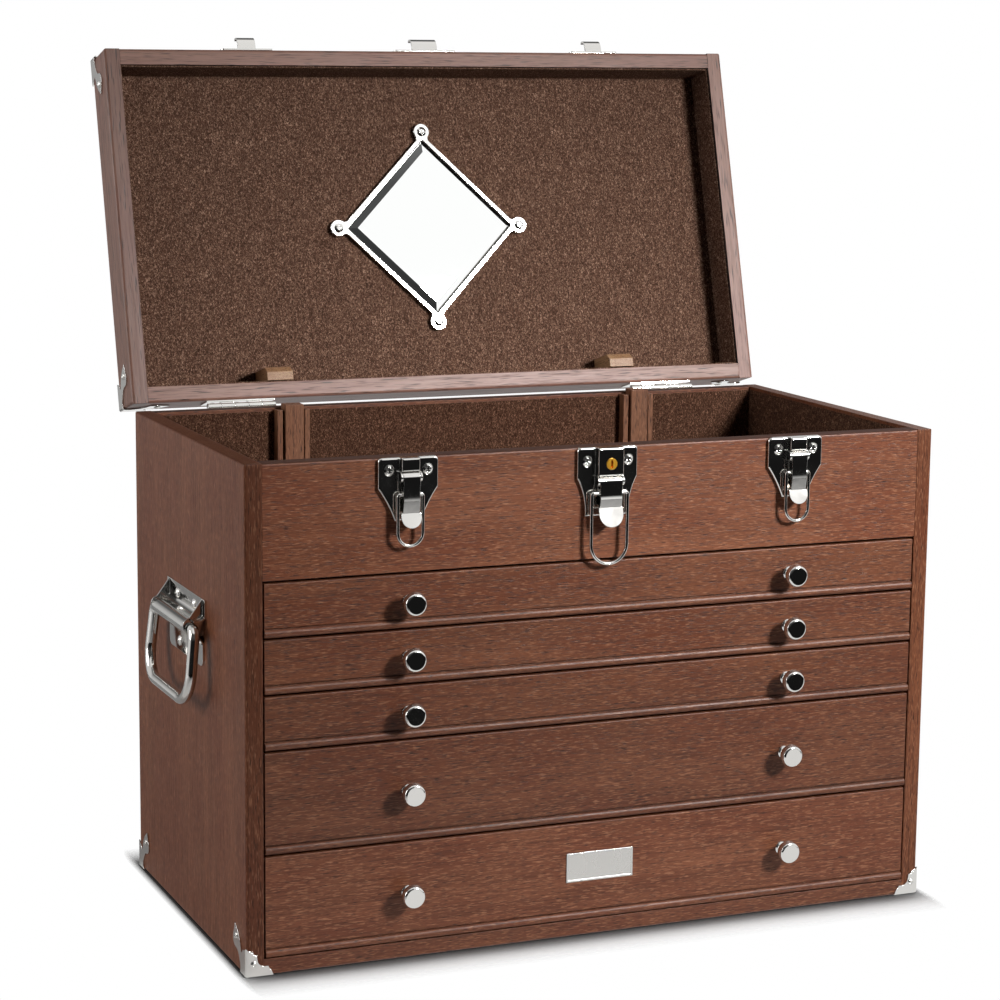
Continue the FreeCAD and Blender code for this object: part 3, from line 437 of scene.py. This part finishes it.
lamps = {
    # a narrow beam from the upper right, a trace of light from above, a broad one on the left
    "key": {"at": (0.78, -1.36, 1.00), "aim": (0.15, -0.13, 0.33), "size": (0.34, 0.34),
            "watts": 3.8, "spread": 54.0},
    "top": {"at": (0.1, -0.3, 2.3), "aim": (0.0, 0.1, 0.2), "size": (2.0, 1.4),
            "watts": 0.3, "spread": 180.0},
    "left": {"at": (-2.0, 0.30, 0.82), "aim": (-0.25, 0.0, 0.20), "size": (1.2, 1.0),
             "watts": 22.0, "spread": 180.0},
}


def makeSoftbox(name, look):
    lamp = bpy.data.lights.new(name + " softbox", "AREA")
    lamp.shape = "RECTANGLE"
    lamp.size, lamp.size_y = look["size"]
    lamp.energy = look["watts"]
    lamp.spread = math.radians(look["spread"])
    box = addObject(lamp.name, lamp)
    box.location = look["at"]
    aim = Vector(look["aim"]) - Vector(look["at"])
    box.rotation_euler = aim.to_track_quat("-Z", "Y").to_euler()


for name, look in lamps.items():
    makeSoftbox(name, look)


# floor

floorLook = {
    # lengths and places are in metres
    "radius": 2.4, "sides": 96,
    "fade": (1.2, 2.352),             # from here to there it turns clear for everything
    "paper": "#F4F4F4",
    "shadow": (0.008, 0.042),         # how far from the case the eye loses the floor
    "shadowLean": (6.0, 1.0, 1.0),    # to the left and right of it that much nearer
    "contact": 0.030,                 # reach of the painted contact shadow where the chest stands
    "contactPower": 3.4,
    "contactSamples": 8,
    "tableEdge": (-0.56, -0.65),      # in front of this the floor gives no light back
    "beyondEdge": 0.010,              # its brightness there
    "table": 0.90,                    # how bright metal sees the table
    "tableLeft": (-0.26, -0.20),      # where that begins on the left
}


def makePaper():
    # Matt white paper. The eye loses it in the white room a few centimetres from the chest,
    # so only the contact shadow is left; for the chest it ends at the table's front edge.
    material = bpy.data.materials.new("matt white paper")
    material.use_nodes = True
    tree = material.node_tree
    tree.nodes.clear()
    coords = addNode(tree, "ShaderNodeTexCoord").outputs["Object"]
    place = addNode(tree, "ShaderNodeSeparateXYZ", (coords,))
    path = addNode(tree, "ShaderNodeLightPath")
    eye = path.outputs["Is Camera Ray"]

    # how far a point lies from the case
    case = zip(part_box("side_left")[0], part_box("side_right")[1])
    half = [(high - low) / 2 for low, high in case][:2] + [0.0]
    away = addNode(tree, "ShaderNodeVectorMath", (coords,), operation="ABSOLUTE")
    away = addNode(tree, "ShaderNodeVectorMath", (away, half), operation="SUBTRACT")
    away = addNode(tree, "ShaderNodeVectorMath", (away, (0, 0, 0)), operation="MAXIMUM")
    away = addNode(tree, "ShaderNodeVectorMath", (away, floorLook["shadowLean"]),
                   operation="MULTIPLY")
    away = addNode(tree, "ShaderNodeVectorMath", (away,), operation="LENGTH")

    # where the paper is clear
    lost = addNode(tree, "ShaderNodeMapRange", (away, *floorLook["shadow"]))
    lost = addNode(tree, "ShaderNodeMath", (lost, eye), operation="MULTIPLY")
    distance = addNode(tree, "ShaderNodeVectorMath", (coords,), operation="LENGTH")
    far = addNode(tree, "ShaderNodeMapRange", (distance, *floorLook["fade"]))
    clearness = addNode(tree, "ShaderNodeMath", (lost, far), operation="MAXIMUM")

    # its colour to the eye, with a painted contact shadow where the chest stands, and to the chest,
    # with the front edge
    uncovered = addNode(tree, "ShaderNodeAmbientOcclusion", {"Distance": floorLook["contact"]},
                        samples=floorLook["contactSamples"])
    uncovered = addNode(tree, "ShaderNodeMath",
                        (uncovered.outputs["AO"], floorLook["contactPower"]), operation="POWER")
    unseen = addNode(tree, "ShaderNodeMath", (1.0, eye), operation="SUBTRACT")
    edge = addNode(tree, "ShaderNodeMapRange", (place.outputs["Y"], *floorLook["tableEdge"]))
    edge = addNode(tree, "ShaderNodeMath", (edge, unseen), operation="MULTIPLY")
    white, beyond = toLinear(floorLook["paper"]), grey(floorLook["beyondEdge"])
    colour = addNode(tree, "ShaderNodeMix", {0: uncovered, 6: grey(0.0), 7: white}, data_type="RGBA")
    colour = addNode(tree, "ShaderNodeMix", {0: eye, 6: white, 7: colour}, data_type="RGBA")
    colour = addNode(tree, "ShaderNodeMix", {0: edge, 6: colour, 7: beyond}, data_type="RGBA")
    sheet = addNode(tree, "ShaderNodeBsdfDiffuse", {"Color": colour})

    # metal sees the table in front of the chest as an even bright sheet
    lit = addNode(tree, "ShaderNodeMapRange", (place.outputs["X"], *floorLook["tableLeft"]))
    lit = addNode(tree, "ShaderNodeMath", (lit, path.outputs["Is Glossy Ray"]),
                  operation="MULTIPLY")
    table = grey(floorLook["table"])
    table = addNode(tree, "ShaderNodeMix", {0: edge, 6: table, 7: beyond}, data_type="RGBA")
    glow = addNode(tree, "ShaderNodeEmission", {"Color": table})
    sheet = addNode(tree, "ShaderNodeMixShader", (lit, sheet, glow))
    clear = addNode(tree, "ShaderNodeBsdfTransparent")
    surface = addNode(tree, "ShaderNodeMixShader", (clearness, sheet, clear))
    addNode(tree, "ShaderNodeOutputMaterial", {"Surface": surface})
    return material


def makeFloor():
    mesh = bmesh.new()
    bmesh.ops.create_circle(mesh, cap_ends=True, segments=floorLook["sides"],
                            radius=floorLook["radius"])
    data = bpy.data.meshes.new("studio floor")
    mesh.to_mesh(data)
    mesh.free()
    data.materials.append(makePaper())
    floor = addObject("studio floor", data)
    floor.location = (0, 0, min(cadBox[0][2], 0.0))


makeFloor()


# room

roomLook = {
    "ambient": 0.008,               # what lights everything but shiny surfaces
    "bright": 1.0,                  # for metal, wherever nothing below says otherwise
    "back": (0.12, 0.85),           # the back, left and right of a change in it
    "backChange": (0.44, 0.50),
    "backBegins": (0.0, 0.30),
    "left": 0.70,
    "leftBegins": (-0.10, -0.40),
    "front": (0.010, 0.07),         # the front's dark part, at the bottom and at the top
    "frontHeight": (0.0, 0.30),
    "frontBegins": (-0.05, -0.35),
    "frontSlope": (0.30, 0.14),     # over this way to the left the dark part reaches higher,
    "frontUpTo": (0.04, 0.75),      # from the first of these up to the second
    "frontBlur": (-0.05, 0.05),
}


def makeRoom():
    # White to the eye and dim grey as a light. Metal sees it white, with a dark front that
    # reaches higher on the left, and a back that is dim but for its right end. Places in it
    # are parts of the direction in which a ray leaves: right, back and up.
    world = bpy.data.worlds.new("white studio")
    bpy.context.scene.world = world
    world.use_nodes = True
    tree = world.node_tree
    tree.nodes.clear()
    direction = addNode(tree, "ShaderNodeTexCoord").outputs["Generated"]
    right, back, up = addNode(tree, "ShaderNodeSeparateXYZ", (direction,)).outputs
    path = addNode(tree, "ShaderNodeLightPath")

    inBack = addNode(tree, "ShaderNodeMapRange", (back, *roomLook["backBegins"]))
    backTone = addNode(tree, "ShaderNodeMapRange",
                       (right, *roomLook["backChange"], *roomLook["back"]))
    inLeft = addNode(tree, "ShaderNodeMapRange", (right, *roomLook["leftBegins"]))
    inFront = addNode(tree, "ShaderNodeMapRange", (back, *roomLook["frontBegins"]))
    limit = addNode(tree, "ShaderNodeMapRange",
                    (right, *roomLook["frontSlope"], *roomLook["frontUpTo"]))
    over = addNode(tree, "ShaderNodeMath", (up, limit), operation="SUBTRACT")
    below = addNode(tree, "ShaderNodeMapRange", (over, *roomLook["frontBlur"], 1.0, 0.0))
    inDark = addNode(tree, "ShaderNodeMath", (inFront, below), operation="MULTIPLY")
    darkTone = addNode(tree, "ShaderNodeMapRange",
                       (up, *roomLook["frontHeight"], *roomLook["front"]))

    seen = grey(roomLook["bright"])
    for share, tone in ((inBack, backTone), (inLeft, grey(roomLook["left"])), (inDark, darkTone)):
        seen = addNode(tree, "ShaderNodeMix", {0: share, 6: seen, 7: tone}, data_type="RGBA")
    ambient = grey(roomLook["ambient"])
    glossy, eye = path.outputs["Is Glossy Ray"], path.outputs["Is Camera Ray"]
    light = addNode(tree, "ShaderNodeMix", {0: glossy, 6: ambient, 7: seen}, data_type="RGBA")
    light = addNode(tree, "ShaderNodeMix", {0: eye, 6: light, 7: grey(1.0)}, data_type="RGBA")
    sky = addNode(tree, "ShaderNodeBackground", {"Color": light, "Strength": 1.0})
    addNode(tree, "ShaderNodeOutputWorld", {"Surface": sky})


makeRoom()


# camera

view = {
    "at": (-0.7594, -1.7591, 0.6081),                      # metres
    "azimuth": -22.75, "elevation": 9.64, "roll": 0.59,    # degrees
    "lens": 97.2, "sensor": 36.0,                          # mm
    "clip": (0.05, 50.0),                                  # metres
}


def makeCamera():
    azimuth, elevation, roll = (math.radians(view[key]) for key in ("azimuth", "elevation", "roll"))
    back = Vector((math.sin(azimuth) * math.cos(elevation),
                   -math.cos(azimuth) * math.cos(elevation), math.sin(elevation)))
    right = Vector((0, 0, 1)).cross(back).normalized()
    up = back.cross(right)
    turnedRight = right * math.cos(roll) + up * math.sin(roll)
    turnedUp = up * math.cos(roll) - right * math.sin(roll)
    data = bpy.data.cameras.new("camera")
    data.lens = view["lens"]
    data.sensor_width = view["sensor"]
    data.clip_start, data.clip_end = view["clip"]
    camera = addObject("camera", data)
    place = Matrix((turnedRight, turnedUp, back)).transposed().to_4x4()
    place.translation = Vector(view["at"])
    camera.matrix_world = place
    bpy.context.scene.camera = camera


makeCamera()
bpy.context.scene.view_settings.view_transform = "Standard"
print("studio done")

bpy.context.view_layer.update()
